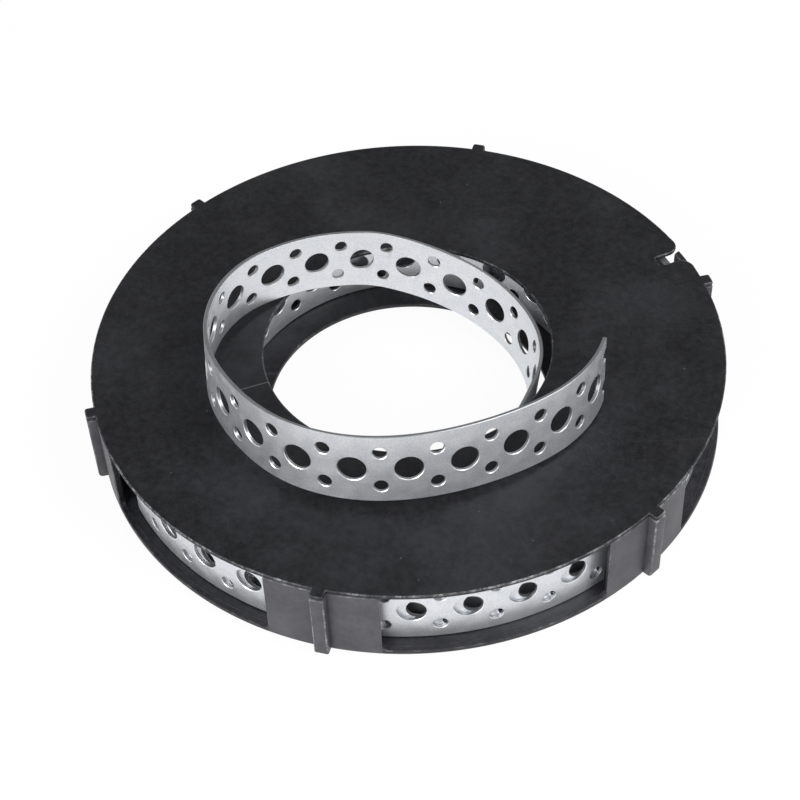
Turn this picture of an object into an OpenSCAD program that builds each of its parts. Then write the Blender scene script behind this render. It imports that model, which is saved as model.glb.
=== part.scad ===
// Perforated steel strap wound in a round dispenser cassette, its inner end drawn out over the lid.
// Millimetres. The floor is the underside of the base, z = 0, and +Z is the axis of the coil.

/* [Strap] */
// Width of the band
strap_width = 17; // [12:0.5:26]
// Thickness of the band
strap_thickness = 0.8; // [0.6:0.05:1.2]
// Distance from one large hole to the next along the band
hole_pitch = 11.5; // [9:0.5:18]
// Diameter of the large holes on the centre line
large_hole = 6; // [4:0.5:9]
// Diameter of the small holes
small_hole = 3; // [2:0.25:4.5]
// Distance of each small hole from the centre line
small_offset = 4.4; // [3:0.1:6]

/* [Coil] */
// Radius of the innermost turn's inner face
coil_inner_radius = 33; // [28:0.5:40]
// Number of turns in the coil
turns = 31; // [20:1:40]
// Width of the gap between two turns as it shows on the ends of the coil
turn_gap = 0.3; // [0.1:0.05:0.5]
// Depth of that gap in the ends of the coil
turn_gap_depth = 0.6; // [0.2:0.1:1.5]

/* [Cassette] */
// Outer radius of lid and base
cassette_radius = 70; // [60:1:100]
// Radius of the bore in lid and base
bore_radius = 32; // [26:0.5:38]
// Thickness of the floor of the base
floor_thickness = 1; // [0.8:0.1:2]
// Thickness of the lid
lid_thickness = 1; // [0.8:0.1:2]
// Thickness of the wall pieces
wall_thickness = 1.5; // [1:0.1:2.5]
// Angle of one wall piece seen from the axis
wall_angle = 20; // [10:1:40]
// Radius in the lower corners of the windows between the walls
window_corner = 2.5; // [1:0.5:5]
// Height of the sill under the windows above the floor
window_sill = 0.2; // [0.1:0.1:1]
// Number of wall pieces and ribs
rib_count = 6; // [4:1:8]
// Direction of the first rib
rib_start = 13.5; // [0:0.5:60]
// Width of a rib
rib_width = 3; // [2:0.25:5]
// How far a rib stands out of the rim
rib_proud = 2; // [1:0.25:4]
// Rounding of the lower end of a rib
rib_foot_radius = 1; // [0.5:0.25:1.5]
// Direction of the cutting notch in the lid
notch_angle = 21.5; // [0:0.5:60]
// Width of the notch
notch_width = 3; // [2:0.25:6]
// Depth of the notch from the rim
notch_depth = 7; // [3:0.5:12]
// Rounding of the two corners at the mouth of the notch
notch_mouth = 3; // [1:0.5:5]

/* [Clearances] */
// Free height between the coil and the lid
lid_clearance = 0.3; // [0.1:0.1:1]
// Free space between the coil and the wall pieces
wall_clearance = 0.9; // [0.3:0.1:2]
// Free height between the ribs and the tongues of the lid
rib_clearance = 0.15; // [0.05:0.05:0.5]
// Free height between the drawn-out end and the lid
lead_clearance = 0.3; // [0.1:0.1:1]

/* [Drawn-out end] */
// Direction of the cut end of the strap
lead_start = -26; // [-90:0.5:90]
// Radius of the loop lying on the lid
lead_radius = 46.8; // [40:0.2:55]
// Depth of the soft flats in that loop
lead_wave = 1.5; // [0:0.1:3]
// Radius of the loop where it passes through the bore
lead_bore_radius = 27.5; // [24:0.5:29]
// Pull of the cut end towards the middle
lead_end_pull = 2; // [0:0.1:3]
// Distance of the cut from the middle of the small holes it goes through
cut_offset = 0.4; // [0.1:0.1:2]
// Lift of the left of the loop above the lid
lead_lift = 2; // [0:0.5:6]
// Lean of the front of the loop to the back, in degrees
lead_front_lean = 6.5; // [0:0.5:10]
// Leans of the back of the loop to the right and to the front, in degrees
lead_side_lean = 7.5; // [0:0.5:10]
lead_back_lean = 3.5; // [0:0.5:10]

/* [Hidden] */
$fn = 96;
eps = 0.02;
coil_bottom = floor_thickness;
coil_top = coil_bottom + strap_width;
lid_bottom = coil_top + lid_clearance;
lid_top = lid_bottom + lid_thickness;
wall_inner = cassette_radius - wall_thickness;
coil_outer_radius = wall_inner - wall_clearance;
turn_pitch = (coil_outer_radius - coil_inner_radius - strap_thickness) / (turns - 1);

// Turn of the loop, in degrees from the cut end, at which it leaves the lid, dips and meets the coil
lead_in_from = 113;
lead_in_to = 219;
lead_dip_from = 150;
lead_dip_to = 322;
lead_out_from = 332;
lead_turn = 405;
lead_root_radius = coil_inner_radius + strap_thickness * 1.1;
lead_root_height = coil_bottom + 0.12;

// Holes are cut with this many sides
hole_sides = 32;

// Smooth step from 0 to 1 that is steepest at the share a of its length
function ease(u, a) =
    u <= 0 ? 0 :
    u >= 1 ? 1 :
    u < a ? u * u / a : 1 - (1 - u) * (1 - u) / (1 - a);

// Radius and lower edge of the drawn-out end at a turn of t degrees from its cut end
function lead_r(t) =
    let (inward = ease((t - lead_in_from) / (lead_in_to - lead_in_from), 0.6))
    let (outward = ease((t - lead_out_from) / (lead_turn - lead_out_from), 0.55))
    let (at_end = max(0, 1 - t / 25))
    lead_radius
    - lead_end_pull * at_end * at_end
    + lead_wave * cos((t - 94) * 3.2) * (1 - ease((t - 94) / 40, 0.5))
    - (lead_radius - lead_bore_radius) * inward
    + (lead_root_radius - lead_bore_radius) * outward;

function lead_z(t) =
    let (from = lid_top + lead_clearance + lead_lift * ease(t / 72, 0.5))
    from - (from - lead_root_height) * ease((t - lead_dip_from) / (lead_dip_to - lead_dip_from), 0.5);

function lead_point(t) =
    let (r = lead_r(t))
    [r * cos(lead_start - t), r * sin(lead_start - t), lead_z(t)];

function unit(v) = v / norm(v);

// Direction across the strap: it leans in the loop and stands upright in the coil
function lead_across(t) =
    let (back = ease((t - 95) / 90, 0.5))
    let (share = 1 - ease((t - 330) / 50, 0.5))
    let (to_right = share * lead_side_lean * back)
    let (to_back = share * (lead_front_lean * (1 - back) - lead_back_lean * back))
    unit([tan(to_right), tan(to_back), 1]);

// Direction along the strap and the one square to its face
function lead_along(t) = unit(lead_point(t + 0.5) - lead_point(t - 0.5));
function lead_normal(t) = unit(cross(lead_along(t), lead_across(t)));

// Length of strap up to every degree of turn, so that holes and steps keep their true pitch
function lead_stretch(t) =
    let (step = lead_point(t + 1) - lead_point(t))
    let (w = lead_across(t))
    norm(step - (step * w) * w);

lead_lengths = [
    for (t = 0, s = 0; t <= lead_turn; s = s + lead_stretch(t), t = t + 1)
        [s, t]
];
function lead_at(length) = lookup(length, lead_lengths);

// The band is drawn in steps of a quarter of the hole pitch, so that every hole lies alike on them
lead_step = hole_pitch / 4;
lead_steps = floor(lead_lengths[lead_turn][0] / lead_step);
function lead_station(i) = i == 0 ? 0 : cut_offset + (i - 0.65) * lead_step;
// The last holes stay clear of the place where the drawn-out end joins the coil
lead_holes = floor(lead_lengths[lead_turn][0] / hole_pitch) - 1;

// Base: floor, six wall pieces with a rib on each, windows between them
module base() {
    color("#1c1d1f")
    difference() {
        union() {
            difference() {
                cylinder(r = cassette_radius, h = lid_bottom, $fn = 180);
                translate([0, 0, floor_thickness])
                    cylinder(r = wall_inner, h = strap_width * 2, $fn = 180);
                for (i = [0 : rib_count - 1])
                    rotate([0, 0, rib_start + (i + 0.5) * 360 / rib_count])
                        window();
            }
            for (i = [0 : rib_count - 1])
                rotate([0, 0, rib_start + i * 360 / rib_count])
                    rib();
        }
        translate([0, 0, -1])
            cylinder(r = bore_radius, h = floor_thickness + 2);
    }
}

// Window: open to the top, with two rounded lower corners
module window() {
    half = cassette_radius * sin(180 / rib_count - wall_angle / 2);
    sill = floor_thickness + window_sill;
    translate([cassette_radius / 2, 0, 0])
        rotate([90, 0, 90])
            linear_extrude(height = cassette_radius) {
                translate([-half, sill + window_corner])
                    square([2 * half, strap_width * 2]);
                translate([-half + window_corner, sill])
                    square([2 * (half - window_corner), window_corner + 1]);
                for (side = [-1, 1])
                    translate([side * (half - window_corner), sill + window_corner])
                        circle(r = window_corner, $fn = 48);
            }
}

// Rib: upright bar on a wall piece, rounded at its foot
module rib() {
    translate([wall_inner + wall_thickness / 2, rib_width / 2, 0])
        rotate([90, 0, 0])
            linear_extrude(height = rib_width)
                rib_side();
}

module rib_side() {
    length = wall_thickness / 2 + rib_proud;
    difference() {
        square([length, lid_bottom - rib_clearance]);
        translate([length - rib_foot_radius, 0])
            difference() {
                translate([0, -1])
                    square([rib_foot_radius + 1, rib_foot_radius + 1]);
                translate([0, rib_foot_radius])
                    circle(r = rib_foot_radius, $fn = 32);
            }
    }
}

// Lid: flat ring with a tongue over each rib and the cutting notch
module lid() {
    color("#161719")
    translate([0, 0, lid_bottom])
        linear_extrude(height = lid_thickness)
            lid_plan();
}

module lid_plan() {
    difference() {
        union() {
            circle(r = cassette_radius, $fn = 180);
            for (i = [0 : rib_count - 1])
                rotate(rib_start + i * 360 / rib_count)
                    translate([cassette_radius - 4, -rib_width / 2])
                        square([4 + rib_proud, rib_width]);
        }
        circle(r = bore_radius, $fn = 120);
        rotate(notch_angle) {
            translate([cassette_radius - notch_depth, -notch_width / 2])
                square([notch_depth + 1, notch_width]);
            for (side = [-1, 1])
                difference() {
                    translate([cassette_radius - notch_mouth, side * (notch_width + notch_mouth) / 2])
                        translate([0, -notch_mouth / 2 - eps])
                            square([notch_mouth + 1, notch_mouth + 2 * eps]);
                    translate([cassette_radius - notch_mouth - 0.1, side * (notch_width / 2 + notch_mouth)])
                        circle(r = notch_mouth, $fn = 48);
                }
        }
    }
}

// Strap: the wound coil and its drawn-out end are one piece
module strap() {
    color("#b9bec4")
    union() {
        coil();
        lead();
    }
}

// Coil: turned solid with its bore, the gaps between its turns cut into both ends
module coil() {
    difference() {
        rotate_extrude($fn = 144)
            coil_section();
        coil_holes();
    }
}

module coil_section() {
    difference() {
        translate([coil_inner_radius, coil_bottom])
            square([coil_outer_radius - coil_inner_radius, strap_width]);
        for (i = [1 : turns - 2])
            translate([coil_inner_radius + i * turn_pitch + strap_thickness + turn_gap / 2, 0]) {
                translate([0, coil_bottom])
                    turn_groove();
                translate([0, coil_top])
                    turn_groove();
            }
    }
}

// Groove between two turns: the rolled edges of the band meet in it
module turn_groove() {
    polygon([
        [-turn_gap / 2, 0],
        [0, -turn_gap_depth],
        [turn_gap / 2, 0],
        [0, turn_gap_depth]
    ]);
}

// Holes of the outermost and the innermost turn, one thickness of the band deep
module coil_holes() {
    turned_holes(coil_outer_radius, -strap_thickness, 1, 0, 360);
    // Those of the innermost turn stay clear of the place where the drawn-out end leaves it
    turned_holes(coil_inner_radius, -1, strap_thickness, lead_start - 20, 292);
}

module turned_holes(radius, inner, outer, from, span) {
    pitches = floor(2 * PI * radius / hole_pitch);
    angle = 360 / pitches;
    first = ceil(from / angle);
    depth = outer - inner;
    middle = (coil_bottom + coil_top) / 2;
    for (i = [first : first + floor(span / angle) - 1]) {
        turned_hole(i * angle, radius + inner, middle, large_hole, depth);
        for (side = [-1, 1])
            turned_hole((i + 0.5) * angle, radius + inner, middle + side * small_offset, small_hole, depth);
    }
}

module turned_hole(angle, radius, z, diameter, depth) {
    rotate([0, 0, angle])
        translate([radius, 0, z])
            rotate([0, 90, 0])
                cylinder(d = diameter, h = depth, $fn = hole_sides);
}

// Drawn-out end: the band in its loop with all its holes
module lead() {
    difference() {
        lead_band();
        for (i = [0 : lead_holes])
            for (side = [-1, 1])
                lead_hole(cut_offset + i * hole_pitch, side * small_offset, small_hole);
        for (i = [0 : lead_holes - 1])
            lead_hole(cut_offset + (i + 0.5) * hole_pitch, 0, large_hole);
    }
}

// Band: four corners at every step, skinned along the loop
module lead_band() {
    sections = [
        for (i = [0 : lead_steps])
            let (t = lead_at(lead_station(i)))
            let (p = lead_point(t))
            let (n = lead_normal(t) * strap_thickness / 2)
            let (w = lead_across(t) * strap_width)
            [p - n, p + n, p + n + w, p - n + w]
    ];
    points = [for (s = sections) for (p = s) p];
    last = lead_steps * 4;
    sides = [
        for (i = [0 : lead_steps - 1])
            for (k = [0 : 3])
                let (a = i * 4 + k)
                let (b = i * 4 + (k + 1) % 4)
                each [[a, b, b + 4], [a, b + 4, a + 4]]
    ];
    polyhedron(
        points = points,
        faces = concat([[3, 2, 1, 0]], sides, [[last, last + 1, last + 2, last + 3]])
    );
}

module lead_hole(length, across, diameter) {
    t = lead_at(length);
    w = lead_across(t);
    n = lead_normal(t);
    u = cross(w, n);
    p = lead_point(t) + w * (strap_width / 2 + across);
    multmatrix([
        [u[0], w[0], n[0], p[0]],
        [u[1], w[1], n[1], p[1]],
        [u[2], w[2], n[2], p[2]],
        [0, 0, 0, 1]
    ])
        cylinder(d = diameter, h = strap_thickness * 4, center = true, $fn = hole_sides);
}

base();
lid();
strap();
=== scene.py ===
import bpy
import bmesh
from math import asin, atan2, cos, degrees, pi, radians, sin, sqrt, tan
from mathutils import Matrix, Vector


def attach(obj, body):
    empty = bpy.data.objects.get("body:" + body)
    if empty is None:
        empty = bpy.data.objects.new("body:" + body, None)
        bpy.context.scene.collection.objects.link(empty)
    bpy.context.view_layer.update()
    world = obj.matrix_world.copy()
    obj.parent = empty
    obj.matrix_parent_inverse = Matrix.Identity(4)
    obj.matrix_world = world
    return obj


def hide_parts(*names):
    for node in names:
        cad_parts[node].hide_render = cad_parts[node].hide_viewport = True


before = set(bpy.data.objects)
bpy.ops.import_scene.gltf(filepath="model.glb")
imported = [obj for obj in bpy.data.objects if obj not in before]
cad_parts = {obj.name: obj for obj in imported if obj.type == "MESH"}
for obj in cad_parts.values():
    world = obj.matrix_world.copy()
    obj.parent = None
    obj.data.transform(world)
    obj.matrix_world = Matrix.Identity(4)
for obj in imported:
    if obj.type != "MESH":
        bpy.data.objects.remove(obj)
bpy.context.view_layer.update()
scene = bpy.context.scene


# Base of the cassette: a ring-shaped floor with six short wall pieces on its rim, all one moulding.
# It is black plastic, injected in one shot; a window stays open between each two wall pieces,
# and an upright rib on the middle of each wall piece stiffens it. Sizes are in millimetres and degrees.
mm = 0.001
rim_radius = 70.0
bore_radius = 32.0
wall_inner = 68.5
floor_top = 1.0
sill_top = 1.2
wall_top = 18.3
wall_count = 6
sector_angle = 360.0 / wall_count
first_rib = 13.5
window_half = rim_radius * sin(radians(20.0))
window_corner = 1.2
wall_corner = 0.5
plain_top_start = 20.4
plain_top_span = 19.2
edge_radius = 0.25
slant_share = 0.29
slant = slant_share * edge_radius
foot_round = 0.4
foot_slant = 0.12
bore_slant = 0.07
hold = 0.1
weld_distance = 0.002
sill_zone = 1.0
sill_edge_share = 0.25


def reckoned(tree, operation, *terms):
    """Math node; each term is a socket or a number."""
    node = tree.nodes.new("ShaderNodeMath")
    node.operation = operation
    for slot, term in zip(node.inputs, terms):
        if isinstance(term, (int, float)):
            slot.default_value = term
        else:
            tree.links.new(term, slot)
    return node.outputs["Value"]


def noise_on(tree, place, scale, detail, rough=0.5):
    """Noise from 0 to 1 on a place socket."""
    node = tree.nodes.new("ShaderNodeTexNoise")
    node.inputs["Scale"].default_value = scale
    node.inputs["Detail"].default_value = detail
    node.inputs["Roughness"].default_value = rough
    tree.links.new(place, node.inputs["Vector"])
    return node.outputs["Fac"]


def spread(tree, value, low, high, to_low=0.0, to_high=1.0):
    """Map Range node: low to high of a value becomes to_low to to_high."""
    node = tree.nodes.new("ShaderNodeMapRange")
    for name, number in (("From Min", low), ("From Max", high), ("To Min", to_low), ("To Max", to_high)):
        node.inputs[name].default_value = number
    tree.links.new(value, node.inputs["Value"])
    return node.outputs["Result"]


def turned_place(tree, place, turn_degrees, scale):
    """A place socket turned round Z and stretched."""
    node = tree.nodes.new("ShaderNodeMapping")
    node.inputs["Rotation"].default_value = (0.0, 0.0, radians(turn_degrees))
    node.inputs["Scale"].default_value = scale
    tree.links.new(place, node.inputs["Vector"])
    return node.outputs["Vector"]


def mixed(tree, share, first, second):
    """Mix of two colours, each a socket or four numbers."""
    node = tree.nodes.new("ShaderNodeMix")
    node.data_type = "RGBA"
    tree.links.new(share, node.inputs["Factor"])
    for name, colour in (("A", first), ("B", second)):
        if isinstance(colour, tuple):
            node.inputs[name].default_value = colour
        else:
            tree.links.new(colour, node.inputs[name])
    return node.outputs["Result"]


def kept_on_mesh(tree, name):
    """Attribute node that reads what the mesh keeps under a name."""
    node = tree.nodes.new("ShaderNodeAttribute")
    node.attribute_name = name
    return node


def bumped(tree, shader, height, strength, distance):
    """Bump node that turns a height socket into the shader's normal."""
    node = tree.nodes.new("ShaderNodeBump")
    node.inputs["Strength"].default_value = strength
    node.inputs["Distance"].default_value = distance
    tree.links.new(height, node.inputs["Height"])
    tree.links.new(node.outputs["Normal"], shader.inputs["Normal"])


# Wear of the black plastic, the same for both mouldings: grain, cloudy sheen, scratches, dust, bare edges;
# the bare edges also carry a painted highlight
plastic_wear_and_highlight = bpy.data.node_groups.new("moulded_plastic_wear_and_highlight", "ShaderNodeTree")
for socket_name, socket_type, start in (
    ("Position", "NodeSocketVector", None),
    ("Edge", "NodeSocketFloat", 0.0),
    ("Mark", "NodeSocketFloat", 0.0),
    ("Scratch Amount", "NodeSocketFloat", 0.5),
    ("Cloud Amount", "NodeSocketFloat", 0.5),
    ("Base Roughness", "NodeSocketFloat", 0.45),
):
    socket = plastic_wear_and_highlight.interface.new_socket(socket_name, in_out="INPUT", socket_type=socket_type)
    if start is not None:
        socket.default_value = start
for socket_name in ("Scuff", "Bare And Highlit", "Roughness", "Height"):
    plastic_wear_and_highlight.interface.new_socket(socket_name, in_out="OUTPUT", socket_type="NodeSocketFloat")
group_in = plastic_wear_and_highlight.nodes.new("NodeGroupInput")
group_out = plastic_wear_and_highlight.nodes.new("NodeGroupOutput")
spot = group_in.outputs["Position"]
clouds = spread(plastic_wear_and_highlight, noise_on(plastic_wear_and_highlight, spot, 42.0, 6.0, 0.66), 0.44, 0.66)
dusty = spread(plastic_wear_and_highlight, noise_on(plastic_wear_and_highlight, spot, 700.0, 5.0, 0.75), 0.38, 0.64)
clouds = reckoned(plastic_wear_and_highlight, "MULTIPLY_ADD", clouds, 0.60, reckoned(plastic_wear_and_highlight, "MULTIPLY", dusty, 0.55))
clouds = reckoned(plastic_wear_and_highlight, "MULTIPLY", clouds, group_in.outputs["Cloud Amount"])
scratches = 0.0
for turn_degrees, across, along in ((24, 900.0, 14.0), (-38, 700.0, 18.0), (81, 1100.0, 16.0)):
    drawn = turned_place(plastic_wear_and_highlight, spot, turn_degrees, (along, across, along))
    streak = spread(plastic_wear_and_highlight, noise_on(plastic_wear_and_highlight, drawn, 1.0, 2.0), 0.68, 0.80)
    scratches = reckoned(plastic_wear_and_highlight, "MAXIMUM", scratches, streak)
patches = spread(plastic_wear_and_highlight, noise_on(plastic_wear_and_highlight, spot, 30.0, 2.0), 0.46, 0.68)
scratches = reckoned(plastic_wear_and_highlight, "MULTIPLY", scratches, patches)
scratches = reckoned(plastic_wear_and_highlight, "MULTIPLY", scratches, group_in.outputs["Scratch Amount"])
scuff = reckoned(plastic_wear_and_highlight, "ADD", clouds, scratches)
scuff.node.use_clamp = True
dust = plastic_wear_and_highlight.nodes.new("ShaderNodeTexVoronoi")
dust.inputs["Scale"].default_value = 300.0
plastic_wear_and_highlight.links.new(spot, dust.inputs["Vector"])
dust_pick = plastic_wear_and_highlight.nodes.new("ShaderNodeSeparateColor")
plastic_wear_and_highlight.links.new(dust.outputs["Color"], dust_pick.inputs["Color"])
specks = spread(plastic_wear_and_highlight, dust.outputs["Distance"], 0.03, 0.07, 0.2, 0.0)
picked = spread(plastic_wear_and_highlight, dust_pick.outputs["Red"], 0.80, 0.88)
specks = reckoned(plastic_wear_and_highlight, "MULTIPLY", specks, picked)
# Bare plastic: worn edges that also carry a painted highlight, the scored mark, and dust specks
flecks = spread(plastic_wear_and_highlight, noise_on(plastic_wear_and_highlight, spot, 620.0, 4.0, 0.7), 0.44, 0.66, 0.10, 1.0)
knocks = spread(plastic_wear_and_highlight, noise_on(plastic_wear_and_highlight, spot, 85.0, 2.0), 0.38, 0.62, 0.15, 1.0)
flecks = reckoned(plastic_wear_and_highlight, "MULTIPLY", flecks, knocks)
bare_and_highlit = reckoned(plastic_wear_and_highlight, "MULTIPLY_ADD", flecks, group_in.outputs["Edge"], group_in.outputs["Mark"])
bare_and_highlit = reckoned(plastic_wear_and_highlight, "ADD", bare_and_highlit, specks)
bare_and_highlit.node.use_clamp = True
grain = noise_on(plastic_wear_and_highlight, spot, 2600.0, 3.0)
for socket_name, value in (
    ("Scuff", scuff),
    ("Bare And Highlit", bare_and_highlit),
    ("Roughness", reckoned(plastic_wear_and_highlight, "MULTIPLY_ADD", scuff, 0.22, group_in.outputs["Base Roughness"])),
    ("Height", reckoned(plastic_wear_and_highlight, "MULTIPLY_ADD", grain, 0.5, scratches)),
):
    plastic_wear_and_highlight.links.new(value, group_out.inputs[socket_name])


def black_plastic(name, dark, scuffed_and_lit, bare_and_highlight_colour, scratch, cloud, rough, gloss):
    """Satin black plastic, greyer where it is handled and where it is painted lighter as lit; gives the
    material and its node of wear and painted edge highlights.
    """
    material = bpy.data.materials.new(name)
    material.use_nodes = True
    tree = material.node_tree
    shader = tree.nodes["Principled BSDF"]
    shader.inputs["Specular IOR Level"].default_value = gloss
    place = tree.nodes.new("ShaderNodeTexCoord").outputs["Object"]
    wear_and_highlight = tree.nodes.new("ShaderNodeGroup")
    wear_and_highlight.node_tree = plastic_wear_and_highlight
    wear_and_highlight.inputs["Scratch Amount"].default_value = scratch
    wear_and_highlight.inputs["Cloud Amount"].default_value = cloud
    wear_and_highlight.inputs["Base Roughness"].default_value = rough
    tree.links.new(place, wear_and_highlight.inputs["Position"])
    tree.links.new(kept_on_mesh(tree, "edge_wear_and_highlight").outputs["Fac"], wear_and_highlight.inputs["Edge"])
    # The share read here greys the outer walls and ribs, partly as scuffing from hands and partly as painted
    # light; faces left out of it stay black as painted shade
    handled_and_lit = kept_on_mesh(tree, "handled_and_lit").outputs["Fac"]
    lit_smudge_share = spread(tree, noise_on(tree, place, 130.0, 7.0, 0.72), 0.34, 0.66, 0.26, 0.50)
    scuff_and_light_share = reckoned(tree, "MULTIPLY_ADD", handled_and_lit, lit_smudge_share, wear_and_highlight.outputs["Scuff"])
    scuff_and_light_share.node.use_clamp = True
    tint = mixed(tree, scuff_and_light_share, dark, scuffed_and_lit)
    tint = mixed(tree, wear_and_highlight.outputs["Bare And Highlit"], tint, bare_and_highlight_colour)
    tree.links.new(tint, shader.inputs["Base Color"])
    tree.links.new(wear_and_highlight.outputs["Roughness"], shader.inputs["Roughness"])
    bumped(tree, shader, wear_and_highlight.outputs["Height"], strength=0.35, distance=0.00006)
    return material, wear_and_highlight


base_material, _ = black_plastic(
    "cassette_base_plastic", dark=(0.0050, 0.0050, 0.0068, 1.0), scuffed_and_lit=(0.100, 0.099, 0.113, 1.0),
    bare_and_highlight_colour=(0.34, 0.345, 0.35, 1.0), scratch=0.40, cloud=0.24, rough=0.46, gloss=0.36)


def quarter_turn(count):
    """Sine and cosine at equal steps of a quarter turn, both ends included."""
    turns = [radians(90.0 * i / count) for i in range(count + 1)]
    return [(sin(turn), cos(turn)) for turn in turns]


# One column of points for every step along the upper edge of the rim, all the way round:
# the axis of its window, how far it lies across that axis, its height, and which way the edge faces there
columns = []
jamb_top = wall_top - wall_corner
jamb = jamb_top - sill_top - window_corner
for sector in range(wall_count):
    window_axis = radians(first_rib + sector_angle / 2 + sector_angle * sector)
    steps = []
    for s, c in quarter_turn(4):
        steps.append((-window_half - wall_corner + wall_corner * s, jamb_top + wall_corner * c, s, c))
    for i in range(1, 5):
        steps.append((-window_half, jamb_top - jamb * i / 4, 1.0, 0.0))
    for s, c in quarter_turn(7)[1:]:
        steps.append((-window_half + window_corner * (1 - c), sill_top + window_corner * (1 - s), c, s))
    for i in range(1, 24):
        steps.append(((window_half - window_corner) * (2 * i / 24 - 1), sill_top, 0.0, 1.0))
    for s, c in quarter_turn(7)[:-1]:
        steps.append((window_half - window_corner * (1 - s), sill_top + window_corner * (1 - c), -s, c))
    for i in range(4):
        steps.append((window_half, sill_top + window_corner + jamb * i / 4, -1.0, 0.0))
    for s, c in quarter_turn(4):
        steps.append((window_half + wall_corner - wall_corner * c, jamb_top + wall_corner * s, -c, s))
    for across, height, out_across, out_up in steps:
        columns.append((window_axis, across, height, out_across, out_up))
    for i in range(1, 10):
        columns.append(
            (window_axis + radians(plain_top_start + plain_top_span * i / 10), 0.0, wall_top, 0.0, 1.0))

# Section of the rim at each column: radius, height, and how far a point of the upper edge stays back from it.
# A row of points beside each rounded edge, at the distance hold, keeps the flat sides looking flat
rim = bmesh.new()
worn_highlit_layer = rim.faces.layers.float.new("edge_wear_and_highlight")
lit_handled_layer = rim.faces.layers.float.new("handled_and_lit")
rows = []
for axis, across, height, out_across, out_up in columns:
    inner_edge = min(edge_radius, (height - floor_top) * 0.5)
    inner_stay = inner_edge + min(hold, (height - floor_top - inner_edge) * 0.5)
    profile = [
        (bore_radius + edge_radius, 0.0, 0.0, 0.0),
        (rim_radius - foot_round - hold, 0.0, 0.0, 0.0),
        (rim_radius - foot_round, 0.0, 0.0, 0.0),
        (rim_radius - foot_slant, foot_slant, 0.0, 0.0),
        (rim_radius, foot_round, 0.0, 0.0),
        (rim_radius, foot_round + hold, 0.0, 0.0),
        (rim_radius, None, edge_radius + hold, edge_radius + hold),
        (rim_radius, None, edge_radius, edge_radius),
        (rim_radius - slant, None, slant, slant),
        (rim_radius - edge_radius, None, 0.0, 0.0),
        (rim_radius - edge_radius - hold, None, 0.0, 0.0),
        (wall_inner + edge_radius + hold, None, 0.0, 0.0),
        (wall_inner + edge_radius, None, 0.0, 0.0),
        (wall_inner + slant, None, slant, slant_share * inner_edge),
        (wall_inner, None, edge_radius, inner_edge),
        (wall_inner, None, edge_radius + hold, inner_stay),
        (wall_inner, floor_top, 0.0, 0.0),
        (bore_radius + edge_radius + hold, floor_top, 0.0, 0.0),
        (bore_radius + edge_radius, floor_top, 0.0, 0.0),
        (bore_radius + bore_slant, floor_top - bore_slant, 0.0, 0.0),
        (bore_radius, floor_top - edge_radius, 0.0, 0.0),
        (bore_radius, edge_radius, 0.0, 0.0),
        (bore_radius + bore_slant, bore_slant, 0.0, 0.0),
    ]
    ring = []
    for radius, z, back_across, back_up in profile:
        on_edge = z is None
        y = across - (out_across * back_across if on_edge else 0.0)
        z = height - out_up * back_up if on_edge else z
        turn = axis + asin(y / (radius if on_edge else rim_radius))
        ring.append(rim.verts.new((radius * cos(turn) * mm, radius * sin(turn) * mm, z * mm)))
    rows.append(ring)

# Edges are rubbed bare and carry a painted highlight, less so down at the sills; the outer side of the walls
# is scuffed by hands and painted lighter as lit, and the floor, sills and inner side stay black as painted
# shade
rubbed_highlit_rows = {2: 0.35, 3: 0.35, 7: 1.0, 8: 1.0, 12: 0.5, 13: 0.5, 18: 0.4, 19: 0.4}
outer_rows = range(3, 9)
for column, a, b in zip(columns, rows, rows[1:] + rows[:1]):
    at_sill = column[2] < sill_top + sill_zone
    for k in range(len(a)):
        n = (k + 1) % len(a)
        face = rim.faces.new((a[k], b[k], b[n], a[n]))
        face[worn_highlit_layer] = rubbed_highlit_rows.get(k, 0.0) * (sill_edge_share if at_sill else 1.0)
        face[lit_handled_layer] = 1.0 if k in outer_rows and not at_sill else 0.0
bmesh.ops.remove_doubles(rim, verts=rim.verts, dist=weld_distance * mm)
bmesh.ops.dissolve_degenerate(rim, edges=rim.edges, dist=weld_distance * mm)
bmesh.ops.recalc_face_normals(rim, faces=rim.faces)


def object_from(shape, name):
    """Object made of a finished bmesh and put into the scene."""
    mesh = bpy.data.meshes.new(name)
    shape.to_mesh(mesh)
    shape.free()
    made = bpy.data.objects.new(name, mesh)
    scene.collection.objects.link(made)
    return made


cassette_base = object_from(rim, "cassette_base")

# One rib: an upright bar, rooted half-way into the wall, with a rounded foot and softened edges
rib_root = rim_radius - 0.75
rib_face = rim_radius + 2.0
rib_foot = 1.0
rib_half = 1.5
rib_top = 18.15
rib_softening = 0.28
bar = bmesh.new()
worn_highlit_layer = bar.faces.layers.float.new("edge_wear_and_highlight")
lit_handled_layer = bar.faces.layers.float.new("handled_and_lit")
side = [(rib_root, 0.0), (rib_face - rib_foot, 0.0)]
for s, c in quarter_turn(5)[1:]:
    side.append((rib_face - rib_foot + rib_foot * s, rib_foot * (1 - c)))
side += [(rib_face, rib_top), (rib_root, rib_top)]
left = [bar.verts.new((x * mm, -rib_half * mm, z * mm)) for x, z in side]
right = [bar.verts.new((x * mm, rib_half * mm, z * mm)) for x, z in side]
bar.faces.new(left)
bar.faces.new(right[::-1])
for k in range(len(side)):
    n = (k + 1) % len(side)
    bar.faces.new((left[n], left[k], right[k], right[n]))
bmesh.ops.recalc_face_normals(bar, faces=bar.faces)
corners = [edge for edge in bar.edges if edge.calc_face_angle(0.0) > radians(40)]
softened = bmesh.ops.bevel(
    bar, geom=corners, offset=rib_softening * mm, segments=2, profile=0.5, affect="EDGES", clamp_overlap=True)
# The softened edges are worn bare and carry a painted highlight
for face in softened["faces"]:
    face[worn_highlit_layer] = 1.0
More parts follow.
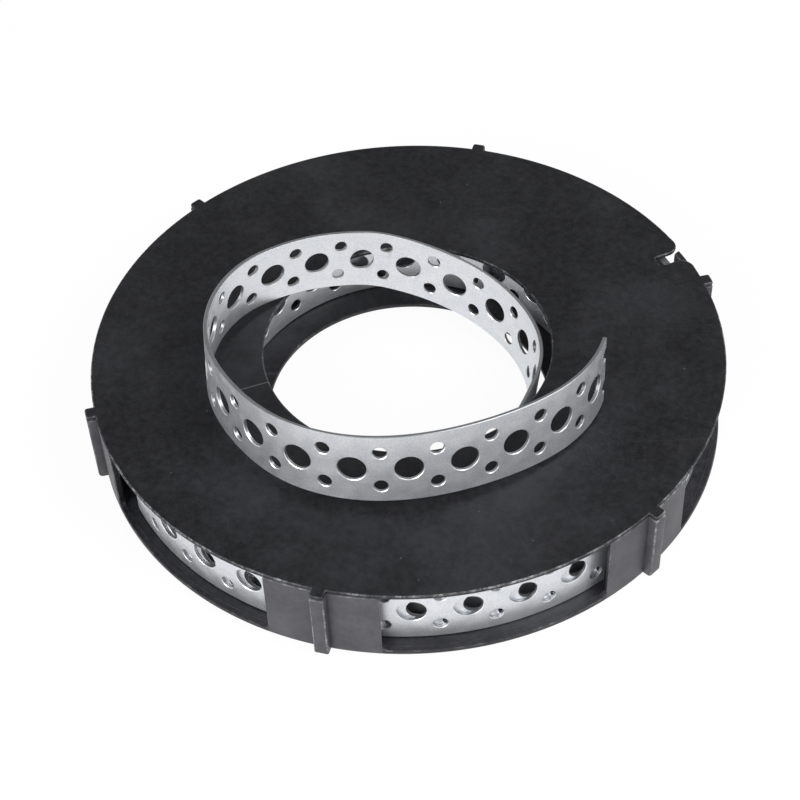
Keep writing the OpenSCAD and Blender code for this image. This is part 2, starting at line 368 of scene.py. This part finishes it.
# The whole rib is greyed like the outer side of the walls: scuffing from hands, and painted light
for face in bar.faces:
    face[lit_handled_layer] = 1.0
rib_bar = object_from(bar, "rib_bar")


def geometry_tree(name, sockets):
    """Geometry Nodes tree with these inputs after the geometry; gives it, its two ends and its inputs."""
    tree = bpy.data.node_groups.new(name, "GeometryNodeTree")
    tree.interface.new_socket("Geometry", in_out="INPUT", socket_type="NodeSocketGeometry")
    identifiers = {}
    for socket_name, socket_type in sockets:
        socket = tree.interface.new_socket(socket_name, in_out="INPUT", socket_type=socket_type)
        identifiers[socket_name] = socket.identifier
    tree.interface.new_socket("Geometry", in_out="OUTPUT", socket_type="NodeSocketGeometry")
    return tree, tree.nodes.new("NodeGroupInput"), tree.nodes.new("NodeGroupOutput"), identifiers


def coated(tree, geometry, material, end):
    """Set Material node between a geometry socket and the end of its tree."""
    node = tree.nodes.new("GeometryNodeSetMaterial")
    node.inputs["Material"].default_value = material
    tree.links.new(geometry, node.inputs["Geometry"])
    tree.links.new(node.outputs["Geometry"], end.inputs["Geometry"])


def run_on(piece, tree, identifiers, values):
    """Run a Geometry Nodes tree on a piece, and keep what it makes as the piece's plain mesh."""
    modifier = piece.modifiers.new(tree.name, "NODES")
    modifier.node_group = tree
    for socket_name, value in values.items():
        modifier[identifiers[socket_name]] = value
    bpy.context.view_layer.update()
    depsgraph = bpy.context.evaluated_depsgraph_get()
    mesh = bpy.data.meshes.new_from_object(piece.evaluated_get(depsgraph))
    piece.modifiers.clear()
    piece.data = mesh
    return mesh


rib_tree, group_in, group_out, rib_inputs = geometry_tree(
    "ribs_round_the_rim", (("Ribs", "NodeSocketInt"), ("First Rib", "NodeSocketFloat")))
links = rib_tree.links
spots = rib_tree.nodes.new("GeometryNodeMeshLine")
spots.mode = "OFFSET"
spots.inputs["Offset"].default_value = (0.0, 0.0, 0.0)
links.new(group_in.outputs["Ribs"], spots.inputs["Count"])
one_bar = rib_tree.nodes.new("GeometryNodeObjectInfo")
one_bar.inputs["Object"].default_value = rib_bar
number = rib_tree.nodes.new("GeometryNodeInputIndex")
share = reckoned(rib_tree, "DIVIDE", number.outputs["Index"], group_in.outputs["Ribs"])
swing = reckoned(rib_tree, "MULTIPLY_ADD", share, 2 * pi, group_in.outputs["First Rib"])
spin = rib_tree.nodes.new("ShaderNodeCombineXYZ")
links.new(swing, spin.inputs["Z"])
put = rib_tree.nodes.new("GeometryNodeInstanceOnPoints")
links.new(spots.outputs["Mesh"], put.inputs["Points"])
links.new(one_bar.outputs["Geometry"], put.inputs["Instance"])
links.new(spin.outputs["Vector"], put.inputs["Rotation"])
whole = rib_tree.nodes.new("GeometryNodeJoinGeometry")
links.new(group_in.outputs["Geometry"], whole.inputs["Geometry"])
links.new(put.outputs["Instances"], whole.inputs["Geometry"])
real = rib_tree.nodes.new("GeometryNodeRealizeInstances")
links.new(whole.outputs["Geometry"], real.inputs["Geometry"])
coated(rib_tree, real.outputs["Geometry"], base_material, group_out)
ribbed = run_on(cassette_base, rib_tree, rib_inputs, {"Ribs": wall_count, "First Rib": radians(first_rib)})
ribbed.set_sharp_from_angle(angle=radians(38))
bpy.data.objects.remove(rib_bar)
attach(cassette_base, "root")
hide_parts("base")


# Lid of the cassette: a flat moulded ring of the same black plastic, its rim resting on the wall pieces.
# A tongue reaches over each rib, and a rounded notch in the rim is where the band is pulled out and cut.
lid_bottom = 18.3
lid_top = 19.3
tongue_reach = 72.0
tongue_corner = 0.6
notch_direction = 21.5
notch_half = 1.5
notch_end = 63.0
notch_corner = 0.5
mouth_middle = 66.9
mouth_round = 3.0
rim_step = 1.5
bore_steps = 160
least_lean = 0.6

# The tongue and the notch are drawn as half outlines across the X axis, mirrored, and turned to their places
tongue = [(sqrt(rim_radius ** 2 - rib_half ** 2), -rib_half)]
for s, c in quarter_turn(4):
    tongue.append((
        tongue_reach - tongue_corner + tongue_corner * s, tongue_corner - rib_half - tongue_corner * c))
tongue += [(x, -y) for x, y in tongue[::-1]]
notch = []
for i in range(9):
    turn = radians(-4.0 - 86.0 * i / 8)
    notch.append((
        mouth_middle + mouth_round * cos(turn), -(notch_half + mouth_round + mouth_round * sin(turn))))
for s, c in quarter_turn(4):
    notch.append((notch_end + notch_corner * (1 - s), notch_corner - notch_half - notch_corner * c))
notch += [(x, -y) for x, y in notch[::-1]]
features = [(first_rib + sector_angle * i, tongue) for i in range(-1, wall_count - 1)]
features.append((notch_direction, notch))
features.sort(key=lambda feature: feature[0])
outline = []
for (direction, local), (after, after_local) in zip(features, features[1:] + features[:1]):
    aim = radians(direction)
    for x, y in local:
        outline.append((x * cos(aim) - y * sin(aim), x * sin(aim) + y * cos(aim)))
    end = direction + degrees(atan2(local[-1][1], local[-1][0]))
    begin = after + degrees(atan2(after_local[0][1], after_local[0][0]))
    while begin < end:
        begin += 360.0
    count = max(2, int((begin - end) / rim_step))
    for i in range(1, count):
        turn = radians(end + (begin - end) * i / count)
        outline.append((rim_radius * cos(turn), rim_radius * sin(turn)))
bore_turns = [2 * pi * i / bore_steps for i in range(bore_steps)]
bore_edge = [(bore_radius * cos(turn), bore_radius * sin(turn)) for turn in bore_turns]

# Rows of points round both edges of the lid, from below: how far in, how high, how bare up to the next row;
# the bare share is worn plastic and a painted edge highlight together
edge_steps = [(0.28, 0.0, 0.5), (0.08, 0.08, 0.5), (0.0, 0.28, 0.15), (0.0, 0.72, 1.0), (0.08, 0.92, 1.0),
              (0.28, 1.0, 0.0)]
plate = bmesh.new()
worn_highlit_layer = plate.faces.layers.float.new("edge_wear_and_highlight")
borders = []
for loop, outward in ((outline, 1.0), (bore_edge, -1.0)):
    rings = []
    for inset, rise, _ in edge_steps:
        ring = []
        for k, (x, y) in enumerate(loop):
            here = Vector((x, y))
            d1 = (here - Vector(loop[k - 1])).normalized()
            d2 = (Vector(loop[(k + 1) % len(loop)]) - here).normalized()
            normal = Vector((d1.y + d2.y, -d1.x - d2.x)).normalized() * outward
            lean = max(least_lean, normal.dot(Vector((d1.y, -d1.x)) * outward))
            corner = here - normal * (inset / lean)
            ring.append(plate.verts.new((corner.x * mm, corner.y * mm, (lid_bottom + rise) * mm)))
        rings.append(ring)
    for (_, _, rubbed_and_highlit), a, b in zip(edge_steps, rings, rings[1:]):
        for k in range(len(a)):
            n = (k + 1) % len(a)
            face = plate.faces.new((a[k], a[n], b[n], b[k]))
            face[worn_highlit_layer] = rubbed_and_highlit
    borders.append(rings)
for level in (0, -1):
    border = []
    for rings in borders:
        ring = rings[level]
        for k in range(len(ring)):
            border.append(plate.edges.get((ring[k], ring[(k + 1) % len(ring)])))
    bmesh.ops.triangle_fill(plate, use_beauty=True, use_dissolve=False, edges=border)
bmesh.ops.recalc_face_normals(plate, faces=plate.faces)
cassette_lid = object_from(plate, "cassette_lid")
lid_mesh = cassette_lid.data
lid_mesh.set_sharp_from_angle(angle=radians(50))

# The top and the underside are shaded flat, and the rounded edges smooth
for polygon in lid_mesh.polygons:
    polygon.use_smooth = abs(polygon.normal.z) < 0.999

lid_material, lid_wear_and_highlight = black_plastic(
    "cassette_lid_plastic", dark=(0.0032, 0.0034, 0.0046, 1.0), scuffed_and_lit=(0.040, 0.041, 0.047, 1.0),
    bare_and_highlight_colour=(0.28, 0.285, 0.29, 1.0), scratch=0.22, cloud=0.42, rough=0.46, gloss=0.27)

# A fine scored line runs out from the bore, at the left; it fades away under the loop
lid_tree = lid_material.node_tree
lid_place = lid_tree.nodes.new("ShaderNodeTexCoord")
along_line = lid_tree.nodes.new("ShaderNodeSeparateXYZ")
lid_tree.links.new(
    turned_place(lid_tree, lid_place.outputs["Object"], 162.2, (1.0, 1.0, 1.0)), along_line.inputs["Vector"])
off_line = reckoned(lid_tree, "ABSOLUTE", along_line.outputs["Y"])
scored = spread(lid_tree, off_line, 0.00005, 0.00017, 0.34, 0.0)
for near, far, at_near, at_far in ((0.0310, 0.0313, 0.0, 1.0), (0.0400, 0.0430, 1.0, 0.0)):
    within = spread(lid_tree, along_line.outputs["X"], near, far, at_near, at_far)
    scored = reckoned(lid_tree, "MULTIPLY", scored, within)
lid_tree.links.new(scored, lid_wear_and_highlight.inputs["Mark"])
lid_mesh.materials.append(lid_material)
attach(cassette_lid, "root")
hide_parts("lid")


# Strap: one band of galvanised steel, rolled, slit, and punched with 6 mm and 3 mm holes, then wound up.
# Its inner end is drawn out through the bore and lies in a loop on the lid, cut off through two small holes;
# its innermost turn is pulled away from the coil, and its two outermost turns have sprung open to the walls.
band_width = 17.0
band_thick = 0.8
half_width = band_width / 2
half_thick = band_thick / 2
hole_pitch = 11.5
large_radius = 3.0
small_radius = 1.5
small_offset = 4.4
cut_offset = 0.4
cut_zone = 3.0
edge_round = 0.12
cell_start = -2.4
cell_weld = 0.004
cut_direction = -26.0
end_bend = 2.0
end_bend_turn = 25.0
wave_depth = 1.5
wave_rate = 3.2
loop_radius = 46.8
loop_lift = 2.0
lid_gap = 0.3
lean_in_front = 6.5
lean_behind = 3.5
lean_right = 7.5
bore_pass_radius = 27.5
coil_start_radius = 38.9
turn_growth = 0.8293
inner_gap = 2.4
outer_gap = 2.36
coil_level = 1.12
coil_sway = 0.09
sway_rate = 2.4
route_start = -4.0
coil_start_turn = 440.0
coil_end_turn = 10220.0

# What changes along the band: the turn from its cut end at which the change begins, and over how many degrees
waving_ends = (94.0, 40.0)
loop_narrows = (113.0, 106.0)
coil_nears = (332.0, coil_start_turn - 332.0)
first_turn_leaves = (730.0, 70.0)
last_turns_open = (9534.0, 140.0)
end_lifts = (0.0, 72.0)
band_sinks = (150.0, 172.0)
lean_swings = (95.0, 90.0)
lean_ends = (330.0, 50.0)


def eased(t, change, steepest=0.5):
    """From 0 to 1 over a change, smoothly, and steepest at that share of its length."""
    u = (t - change[0]) / change[1]
    if u <= 0:
        return 0.0
    if u >= 1:
        return 1.0
    return u * u / steepest if u < steepest else 1 - (1 - u) ** 2 / (1 - steepest)


def band_point(t):
    """Lower edge of the band, t degrees of turn from its cut end, and the direction across it."""
    wave = wave_depth * cos(radians((t - waving_ends[0]) * wave_rate)) * (1 - eased(t, waving_ends))
    radius = loop_radius - end_bend * max(0.0, 1 - t / end_bend_turn) ** 2 + wave
    radius += (bore_pass_radius - loop_radius) * eased(t, loop_narrows, 0.6)
    radius += (coil_start_radius - bore_pass_radius) * eased(t, coil_nears, 0.55)
    on_lid = lid_top + lid_gap + loop_lift * eased(t, end_lifts)
    height = on_lid - (on_lid - coil_level) * eased(t, band_sinks)
    if t > coil_start_turn:
        turns = (t - coil_start_turn) / 360
        radius = coil_start_radius + turn_growth * turns
        radius += inner_gap * eased(t, first_turn_leaves)
        radius += outer_gap * eased(t, last_turns_open)
        height += coil_sway * sin(turns * sway_rate)
    back = eased(t, lean_swings)
    stays = 1 - eased(t, lean_ends)
    to_right = radians(stays * lean_right * back)
    to_back = radians(stays * (lean_in_front * (1 - back) - lean_behind * back))
    aim = radians(cut_direction - t)
    edge_point = Vector((radius * cos(aim), radius * sin(aim), height))
    return edge_point, Vector((tan(to_right), tan(to_back), 1.0)).normalized()


# The route is a straight line as long as the band; each of its points keeps where the band goes from there
route = bmesh.new()
goes_layer = route.verts.layers.float_vector.new("goes_to")
across_layer = route.verts.layers.float_vector.new("across")
faces_layer = route.verts.layers.float_vector.new("faces_out")
t = route_start
run = 0.0
run_at_cut = 0.0
last_vert = None
last_point = None
while t <= coil_end_turn:
    point, across = band_point(t)
    if last_vert is not None:
        step = point - last_point
        run += (step - across * step.dot(across)).length
    vert = route.verts.new((run * mm, 0.0, 0.0))
    vert[goes_layer] = point * mm
    vert[across_layer] = across
    vert[faces_layer] = (band_point(t + 0.5)[0] - band_point(t - 0.5)[0]).cross(across).normalized()
    if last_vert is not None:
        route.edges.new((last_vert, vert))
    if t <= 0:
        run_at_cut = run
    last_vert = vert
    last_point = point
    t += 1.0 if t < coil_start_turn else 2.0
band_cells = int((run - run_at_cut) / hole_pitch) - 1
strap = object_from(route, "wound_strap")

# What a face of a punched cell keeps for its tone: bright at the rims where the punch broke through,
# burnished metal with a painted highlight; dark on the hole walls as painted shade, and dark on the slit
# edges
burnished_rim_highlight = 1.0
hole_wall_shade = -0.8
slit_edge = -1.0


def flat_cell(name, large_sides, small_sides, hole_rim):
    """One hole pitch of flat band as columns of points; length in x, width in y, thickness in z."""
    cell = bmesh.new()
    edge_light_layer = cell.faces.layers.float.new("edge_highlight_and_shade")
    stations = [("plain", cell_start, None, None)]
    for kind, middle, sides in (("small", 0.0, small_sides), ("large", hole_pitch / 2, large_sides)):
        for i in range(sides // 2 + 1):
            turn = pi - 2 * pi * i / sides
            stations.append((kind, middle, cos(turn), abs(sin(turn)) if 0 < i < sides // 2 else 0.0))
    stations.append(("plain", cell_start + hole_pitch, None, None))
    sheets = []
    for z, cut_back in (
        (half_thick, 1), (half_thick - edge_round, 0), (edge_round - half_thick, 0), (-half_thick, 1),
    ):
        sheet = []
        for kind, middle, along, up in stations:
            holes = []
            x_edge = middle
            if kind != "plain":
                punch = large_radius if kind == "large" else small_radius
                radius = punch + cut_back * hole_rim
                x_edge = middle + punch * along
                for y in (0.0,) if kind == "large" else (-small_offset, small_offset):
                    low = cell.verts.new((middle + radius * along, y - radius * up, z))
                    high = cell.verts.new((middle + radius * along, y + radius * up, z)) if up else low
                    holes.append((low, high))
            bottom = cell.verts.new((x_edge, -half_width + cut_back * edge_round, z))
            top = cell.verts.new((x_edge, half_width - cut_back * edge_round, z))
            sheet.append((bottom, holes, top))
        sheets.append(sheet)
    kinds = [station[0] for station in stations]
    for sheet, front in ((sheets[0], True), (sheets[-1], False)):
        for kind_a, kind_b, a, b in zip(kinds, kinds[1:], sheet, sheet[1:]):
            if kind_a == kind_b:
                marks_a = [a[0]] + [vert for pair in a[1] for vert in pair] + [a[2]]
                marks_b = [b[0]] + [vert for pair in b[1] for vert in pair] + [b[2]]
                patches = [(marks_a[k], marks_b[k], marks_b[k + 1], marks_a[k + 1])
                           for k in range(0, len(marks_a), 2)]
            else:
                side_a = [a[0]] + [pair[0] for pair in a[1]] + [a[2]]
                side_b = [b[0]] + [pair[0] for pair in b[1]] + [b[2]]
                patches = [[side_a[0]] + side_b + side_a[:0:-1]]
            for patch in patches:
                patch = list(dict.fromkeys(patch))
                cell.faces.new(patch if front else patch[::-1])
    for upper, lower, wall_light_and_shade in zip(sheets, sheets[1:], (burnished_rim_highlight, hole_wall_shade, burnished_rim_highlight)):
        for kind_a, kind_b, ua, ub, la, lb in zip(kinds, kinds[1:], upper, upper[1:], lower, lower[1:]):
            for side in ((ua[0], la[0], lb[0], ub[0]), (ub[2], lb[2], la[2], ua[2])):
                cell.faces.new(side)[edge_light_layer] = slit_edge
            if kind_a == kind_b:
                for pair_ua, pair_ub, pair_la, pair_lb in zip(ua[1], ub[1], la[1], lb[1]):
                    wall_low = (pair_ub[0], pair_lb[0], pair_la[0], pair_ua[0])
                    wall_high = (pair_ua[1], pair_la[1], pair_lb[1], pair_ub[1])
                    for wall in (wall_low, wall_high):
                        cell.faces.new(wall)[edge_light_layer] = wall_light_and_shade
    for vert in cell.verts:
        vert.co *= mm
    return object_from(cell, name)


seen_cell = flat_cell("seen_cell", large_sides=36, small_sides=18, hole_rim=0.16)
inner_cell = flat_cell("inner_cell", large_sides=20, small_sides=10, hole_rim=0.0)

# Most of the coil is covered by its outer turns, and has only its edges to show
covered = bmesh.new()
section = (
    (-half_width + edge_round, half_thick), (half_width - edge_round, half_thick),
    (half_width, half_thick - edge_round), (half_width, edge_round - half_thick),
    (half_width - edge_round, -half_thick), (-half_width + edge_round, -half_thick),
    (-half_width, edge_round - half_thick), (-half_width, half_thick - edge_round),
)
tiers = [[covered.verts.new(((cell_start + hole_pitch * i / 4) * mm, y * mm, z * mm)) for i in range(5)]
         for y, z in section]
for lower, upper in zip(tiers, tiers[1:] + tiers[:1]):
    for i in range(4):
        covered.faces.new((lower[i], lower[i + 1], upper[i + 1], upper[i]))
covered_cell = object_from(covered, "covered_cell")

# Galvanised finish: dull cool grey zinc with fine speckle and faint rolling lines; punched rims bright as
# burnished metal with a painted highlight, hole walls dark as painted shade
zinc = bpy.data.materials.new("galvanised_band")
zinc.use_nodes = True
tree = zinc.node_tree
shader = tree.nodes["Principled BSDF"]
shader.inputs["Metallic"].default_value = 0.86
band_spot = kept_on_mesh(tree, "on_band").outputs["Vector"]
edge_highlight_and_shade = kept_on_mesh(tree, "edge_highlight_and_shade").outputs["Fac"]
rolling = noise_on(tree, turned_place(tree, band_spot, 0.0, (60.0, 2600.0, 1.0)), 1.0, 3.0)
mottle = noise_on(tree, band_spot, 300.0, 4.0, 0.6)
speckle = noise_on(tree, band_spot, 2800.0, 2.0)
scrape = noise_on(tree, turned_place(tree, band_spot, 11.0, (22.0, 1400.0, 1.0)), 1.0, 2.0)
scrape = spread(tree, scrape, 0.66, 0.76)
shade = reckoned(tree, "MULTIPLY_ADD", mottle, 0.30, reckoned(tree, "MULTIPLY", rolling, 0.18))
shade = reckoned(tree, "MULTIPLY_ADD", speckle, 0.52, shade)
tint = mixed(tree, spread(tree, shade, 0.36, 0.64), (0.62, 0.65, 0.70, 1.0), (0.84, 0.85, 0.87, 1.0))
tint = mixed(tree, reckoned(tree, "MULTIPLY", scrape, 0.35), tint, (0.78, 0.79, 0.80, 1.0))
# Rims are lightened as burnished metal and painted highlight; hole walls and slit edges are darkened, the
# hole walls as painted shade
rim_shine_and_highlight = reckoned(tree, "MAXIMUM", reckoned(tree, "MULTIPLY", edge_highlight_and_shade, 0.55), 0.0)
cut_edge_and_hole_shade = reckoned(tree, "MAXIMUM", reckoned(tree, "MULTIPLY", edge_highlight_and_shade, -0.8), 0.0)
tint = mixed(tree, rim_shine_and_highlight, tint, (0.90, 0.905, 0.91, 1.0))
tint = mixed(tree, cut_edge_and_hole_shade, tint, (0.17, 0.175, 0.18, 1.0))
tree.links.new(tint, shader.inputs["Base Color"])
dull = spread(tree, mottle, 0.3, 0.7, 0.35, 0.44)
dull = reckoned(tree, "MULTIPLY_ADD", rim_shine_and_highlight, -0.10, dull)
tree.links.new(dull, shader.inputs["Roughness"])
bumped(tree, shader, reckoned(tree, "MULTIPLY_ADD", rolling, 0.6, speckle), strength=0.25, distance=0.00002)

# The band is laid flat cell by cell, then every point of it is carried to its place on the route
wind_tree, group_in, group_out, wind_inputs = geometry_tree("band_wound_on_its_route", (
    ("Cells", "NodeSocketInt"),
    ("Loop Cells", "NodeSocketInt"),
    ("Inner Cells", "NodeSocketInt"),
    ("Outer Cells", "NodeSocketInt"),
    ("Last Turn Cells", "NodeSocketInt"),
    ("Pitch", "NodeSocketFloat"),
    ("Run To First Cell", "NodeSocketFloat"),
    ("Half Width", "NodeSocketFloat"),
))
links = wind_tree.links
step_along = wind_tree.nodes.new("ShaderNodeCombineXYZ")
links.new(group_in.outputs["Pitch"], step_along.inputs["X"])
cell_spots = wind_tree.nodes.new("GeometryNodeMeshLine")
cell_spots.mode = "OFFSET"
links.new(group_in.outputs["Cells"], cell_spots.inputs["Count"])
links.new(step_along.outputs["Vector"], cell_spots.inputs["Offset"])
number = wind_tree.nodes.new("GeometryNodeInputIndex")


def is_before(limit):
    """Yes where the cell's number is under a limit socket."""
    node = wind_tree.nodes.new("FunctionNodeCompare")
    node.data_type = "INT"
    node.operation = "LESS_THAN"
    links.new(number.outputs["Index"], node.inputs[2])
    links.new(limit, node.inputs[3])
    return node.outputs["Result"]


def either_way(operation, first, second=None):
    """And, or, not of yes-no sockets."""
    node = wind_tree.nodes.new("FunctionNodeBooleanMath")
    node.operation = operation
    links.new(first, node.inputs[0])
    if second is not None:
        links.new(second, node.inputs[1])
    return node.outputs["Boolean"]


def vector_step(operation, first, second=None):
    """Vector Math node; the second socket is a length for SCALE, and otherwise a vector."""
    node = wind_tree.nodes.new("ShaderNodeVectorMath")
    node.operation = operation
    links.new(first, node.inputs[0])
    if second is not None:
        links.new(second, node.inputs["Scale" if operation == "SCALE" else 1])
    return node.outputs["Vector"]


# The loop and the last turn get fine holes with rims, the first turns inside and the two outermost plain ones
outer_from = reckoned(wind_tree, "SUBTRACT", group_in.outputs["Cells"], group_in.outputs["Outer Cells"])
last_from = reckoned(wind_tree, "SUBTRACT", group_in.outputs["Cells"], group_in.outputs["Last Turn Cells"])
in_last = either_way("NOT", is_before(last_from))
in_outer = either_way("NOT", is_before(outer_from))
is_seen = either_way("OR", is_before(group_in.outputs["Loop Cells"]), in_last)
is_punched = either_way("OR", is_before(group_in.outputs["Inner Cells"]), in_outer)
is_inner = either_way("AND", is_punched, either_way("NOT", is_seen))
is_covered = either_way("NOT", is_punched)
laid = wind_tree.nodes.new("GeometryNodeJoinGeometry")
for cell_object, chosen in ((seen_cell, is_seen), (inner_cell, is_inner), (covered_cell, is_covered)):
    source = wind_tree.nodes.new("GeometryNodeObjectInfo")
    source.inputs["Object"].default_value = cell_object
    row = wind_tree.nodes.new("GeometryNodeInstanceOnPoints")
    links.new(cell_spots.outputs["Mesh"], row.inputs["Points"])
    links.new(chosen, row.inputs["Selection"])
    links.new(source.outputs["Geometry"], row.inputs["Instance"])
    links.new(row.outputs["Instances"], laid.inputs["Geometry"])
flat_band = wind_tree.nodes.new("GeometryNodeRealizeInstances")
links.new(laid.outputs["Geometry"], flat_band.inputs["Geometry"])
flat_spot = wind_tree.nodes.new("GeometryNodeInputPosition")
kept_spot = wind_tree.nodes.new("GeometryNodeStoreNamedAttribute")
kept_spot.data_type = "FLOAT_VECTOR"
kept_spot.domain = "POINT"
kept_spot.inputs["Name"].default_value = "on_band"
links.new(flat_band.outputs["Geometry"], kept_spot.inputs["Geometry"])
links.new(flat_spot.outputs["Position"], kept_spot.inputs["Value"])
split = wind_tree.nodes.new("ShaderNodeSeparateXYZ")
links.new(flat_spot.outputs["Position"], split.inputs["Vector"])
run_here = reckoned(wind_tree, "ADD", split.outputs["X"], group_in.outputs["Run To First Cell"])
path = wind_tree.nodes.new("GeometryNodeMeshToCurve")
links.new(group_in.outputs["Geometry"], path.inputs["Mesh"])
sampled = {}
for kept_name in ("goes_to", "across", "faces_out"):
    kept = wind_tree.nodes.new("GeometryNodeInputNamedAttribute")
    kept.data_type = "FLOAT_VECTOR"
    kept.inputs["Name"].default_value = kept_name
    on_path = wind_tree.nodes.new("GeometryNodeSampleCurve")
    on_path.mode = "LENGTH"
    on_path.data_type = "FLOAT_VECTOR"
    on_path.use_all_curves = False
    links.new(path.outputs["Curve"], on_path.inputs["Curves"])
    links.new(kept.outputs["Attribute"], on_path.inputs["Value"])
    links.new(run_here, on_path.inputs["Length"])
    sampled[kept_name] = on_path.outputs["Value"]
from_edge = reckoned(wind_tree, "ADD", split.outputs["Y"], group_in.outputs["Half Width"])
width_move = vector_step("SCALE", sampled["across"], from_edge)
thick_move = vector_step("SCALE", vector_step("NORMALIZE", sampled["faces_out"]), split.outputs["Z"])
placed = vector_step("ADD", vector_step("ADD", sampled["goes_to"], width_move), thick_move)
wound = wind_tree.nodes.new("GeometryNodeSetPosition")
links.new(kept_spot.outputs["Geometry"], wound.inputs["Geometry"])
links.new(placed, wound.inputs["Position"])
welded = wind_tree.nodes.new("GeometryNodeMergeByDistance")
welded.inputs["Distance"].default_value = cell_weld * mm
links.new(wound.outputs["Geometry"], welded.inputs["Geometry"])
coated(wind_tree, welded.outputs["Geometry"], zinc, group_out)
band_mesh = run_on(strap, wind_tree, wind_inputs, {
    "Cells": band_cells,
    "Loop Cells": 47,
    "Inner Cells": 69,
    "Outer Cells": 75,
    "Last Turn Cells": 38,
    "Pitch": hole_pitch * mm,
    "Run To First Cell": (run_at_cut + cut_offset) * mm,
    "Half Width": half_width * mm,
})
for used in (seen_cell, inner_cell, covered_cell):
    bpy.data.objects.remove(used)

# The drawn-out end is cut square through the first two small holes, and both ends get their cut faces
band = bmesh.new()
band.from_mesh(band_mesh)
spot_layer = band.verts.layers.float_vector["on_band"]
near_cut = [face for face in band.faces if all(vert[spot_layer].x < cut_zone * mm for vert in face.verts)]
near_all = list(near_cut)
for face in near_cut:
    near_all.extend(face.edges)
    near_all.extend(face.verts)
near_all = list(dict.fromkeys(near_all))
cut_point, across = band_point(0.0)
cut_way = (band_point(1.0)[0] - band_point(-1.0)[0]).normalized()
cut_way = (cut_way - across * cut_way.dot(across)).normalized()
bmesh.ops.bisect_plane(band, geom=near_all, plane_co=cut_point * mm, plane_no=cut_way, clear_inner=True)
open_edges = [edge for edge in band.edges if edge.is_boundary]
bmesh.ops.edgenet_fill(band, edges=open_edges)
bmesh.ops.recalc_face_normals(band, faces=band.faces)
band.to_mesh(band_mesh)
band.free()
band_mesh.set_sharp_from_angle(angle=radians(34))
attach(strap, "root")
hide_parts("strap")


# Stand and light: a plain white sweep under the object, seen as white, that still takes its soft shadow.
# A large soft lamp above at the right, a weaker one at the left, and an even sky that leaves the lid black.
# Sizes and places here are in metres.
floor_half = 3.0
floor_level = -0.0002
floor_corners = [
    (-floor_half, -floor_half, floor_level), (floor_half, -floor_half, floor_level),
    (floor_half, floor_half, floor_level), (-floor_half, floor_half, floor_level),
]
floor_mesh = bpy.data.meshes.new("floor")
floor_mesh.from_pydata(floor_corners, [], [(0, 1, 2, 3)])
floor = bpy.data.objects.new("floor", floor_mesh)
scene.collection.objects.link(floor)
white = bpy.data.materials.new("white_sweep")
white.use_nodes = True
tree = white.node_tree
plain = tree.nodes["Principled BSDF"]
plain.inputs["Base Color"].default_value = (0.86, 0.86, 0.86, 1.0)
plain.inputs["Roughness"].default_value = 0.9
glow = tree.nodes.new("ShaderNodeEmission")
glow.inputs["Color"].default_value = (1.0, 1.0, 1.0, 1.0)
glow.inputs["Strength"].default_value = 1.0
ray = tree.nodes.new("ShaderNodeLightPath")
seen = reckoned(tree, "MAXIMUM", ray.outputs["Is Camera Ray"], ray.outputs["Is Glossy Ray"])
seen = reckoned(tree, "MAXIMUM", seen, ray.outputs["Is Transmission Ray"])
blend = tree.nodes.new("ShaderNodeMixShader")
tree.links.new(reckoned(tree, "MULTIPLY", seen, 0.94), blend.inputs["Fac"])
tree.links.new(plain.outputs["BSDF"], blend.inputs[1])
tree.links.new(glow.outputs["Emission"], blend.inputs[2])
tree.links.new(blend.outputs["Shader"], tree.nodes["Material Output"].inputs["Surface"])
floor_mesh.materials.append(white)

for lamp_name, place, size, watts in (
    ("right_lamp", (0.55, -0.30, 0.65), 0.7, 7.0),
    ("left_lamp", (-0.42, -0.55, 0.36), 0.6, 5.4),
):
    lamp_data = bpy.data.lights.new(lamp_name, "AREA")
    lamp_data.shape = "DISK"
    lamp_data.size = size
    lamp_data.energy = watts
    lamp = bpy.data.objects.new(lamp_name, lamp_data)
    aim = Vector((0.0, 0.0, 0.01)) - Vector(place)
    lamp.matrix_world = Matrix.Translation(place) @ aim.to_track_quat("-Z", "Y").to_matrix().to_4x4()
    scene.collection.objects.link(lamp)
world = bpy.data.worlds.new("dim_sky")
scene.world = world
world.use_nodes = True
world.node_tree.nodes["Background"].inputs["Color"].default_value = (1.0, 1.0, 1.0, 1.0)
world.node_tree.nodes["Background"].inputs["Strength"].default_value = 0.40

# Camera: at the photograph's height, tilt and roll, with a long lens; its distances are in radii of the rim
tilt = 0.8121188
roll = -0.0456580
aside = 0.0312692
below = -0.0115301
away = -5.8836467
right_way = Vector((1.0, 0.0, 0.0))
up_way = Vector((0.0, sin(tilt), cos(tilt)))
back_way = Vector((0.0, -cos(tilt), sin(tilt)))
right_turned = right_way * cos(roll) + up_way * sin(roll)
up_turned = up_way * cos(roll) - right_way * sin(roll)
stand = -rim_radius * mm * (aside * right_turned + below * up_turned + away * back_way)
camera_data = bpy.data.cameras.new("photo_view")
camera_data.sensor_fit = "HORIZONTAL"
camera_data.sensor_width = 36.0
camera_data.lens = 80.788
camera_data.clip_start = 0.01
camera_data.clip_end = 20.0
camera = bpy.data.objects.new("photo_view", camera_data)
camera.matrix_world = Matrix((
    (right_turned.x, up_turned.x, back_way.x, stand.x),
    (right_turned.y, up_turned.y, back_way.y, stand.y),
    (right_turned.z, up_turned.z, back_way.z, stand.z),
    (0.0, 0.0, 0.0, 1.0),
))
scene.collection.objects.link(camera)
scene.camera = camera
scene.view_settings.view_transform = "Standard"
